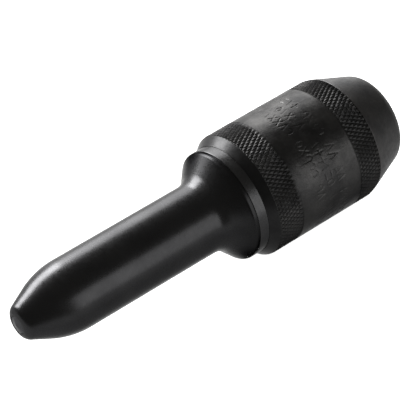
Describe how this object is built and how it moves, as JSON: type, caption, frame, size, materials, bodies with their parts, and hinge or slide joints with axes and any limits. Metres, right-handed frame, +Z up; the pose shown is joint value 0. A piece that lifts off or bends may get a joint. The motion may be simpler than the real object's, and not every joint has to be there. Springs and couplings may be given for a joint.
{
  "type": "automatic centre punch",
  "caption": "Heavy spring-loaded centre punch: a bullet-nosed punch with a flared bell slides in a thick knurled body, and a rounded screw cap sets the force.",
  "frame": {"origin": "centre of the bounding box in plan, at the bottom of the knurled body as the tool lies on its side", "axes": "+X along the tool's axis from the nose to the rear cap, +Z up"},
  "size_m": [0.1072, 0.0318, 0.0318],
  "materials": {
    "black_oxide_smooth": "black oxide, fine turned, semi-gloss",
    "black_oxide_satin": "black oxide, satin, knurled where gripped",
    "hardened_steel": "hardened, dark grey",
    "ground_steel": "ground bright",
    "spring_steel": "oiled spring wire",
    "bronze": "machined",
    "rubber": "moulded"
  },
  "bodies": {
    "body": {"body_sleeve": "black_oxide_satin", "stop_ring": "spring_steel", "trip_bush": "hardened_steel", "return_spring": "spring_steel"},
    "nose": {"nose_punch": "black_oxide_smooth", "punch_point": "hardened_steel", "guide_collar": "black_oxide_satin", "piston": "hardened_steel", "piston_o_ring": "rubber", "drive_pin": "ground_steel"},
    "hammer": {"hammer": "ground_steel"},
    "adjuster": {"spring_seat": "bronze", "thrust_ball": "ground_steel", "main_spring": "spring_steel"},
    "cap": {"rear_cap": "black_oxide_satin", "cap_o_ring": "rubber"}
  },
  "joints": [
    {"name": "nose_slide", "type": "slide", "parent": "body", "child": "nose", "axis": [1, 0, 0], "range_m": [0, 0.005], "stiffness_N_per_m": 2000, "springref_m": -0.0018, "deforming": ["return_spring"]},
    {"name": "hammer_slide", "type": "slide", "parent": "body", "child": "hammer", "axis": [1, 0, 0], "range_m": [0, 0.0045], "stiffness_N_per_m": 8000, "springref_m": -0.0004, "deforming": ["main_spring"]},
    {"name": "cap_travel", "type": "slide", "parent": "body", "child": "adjuster", "axis": [1, 0, 0], "range_m": [0, 0.003], "deforming": ["main_spring"]},
    {"name": "cap_turn", "type": "hinge", "parent": "adjuster", "child": "cap", "pos_m": [0.04, 0, 0.01588], "axis": [1, 0, 0], "range_deg": [0, 720]}
  ],
  "couplings": [
    {"joint": "cap_turn", "follows": "cap_travel", "rad_per_m": 4188.8}
  ]
}
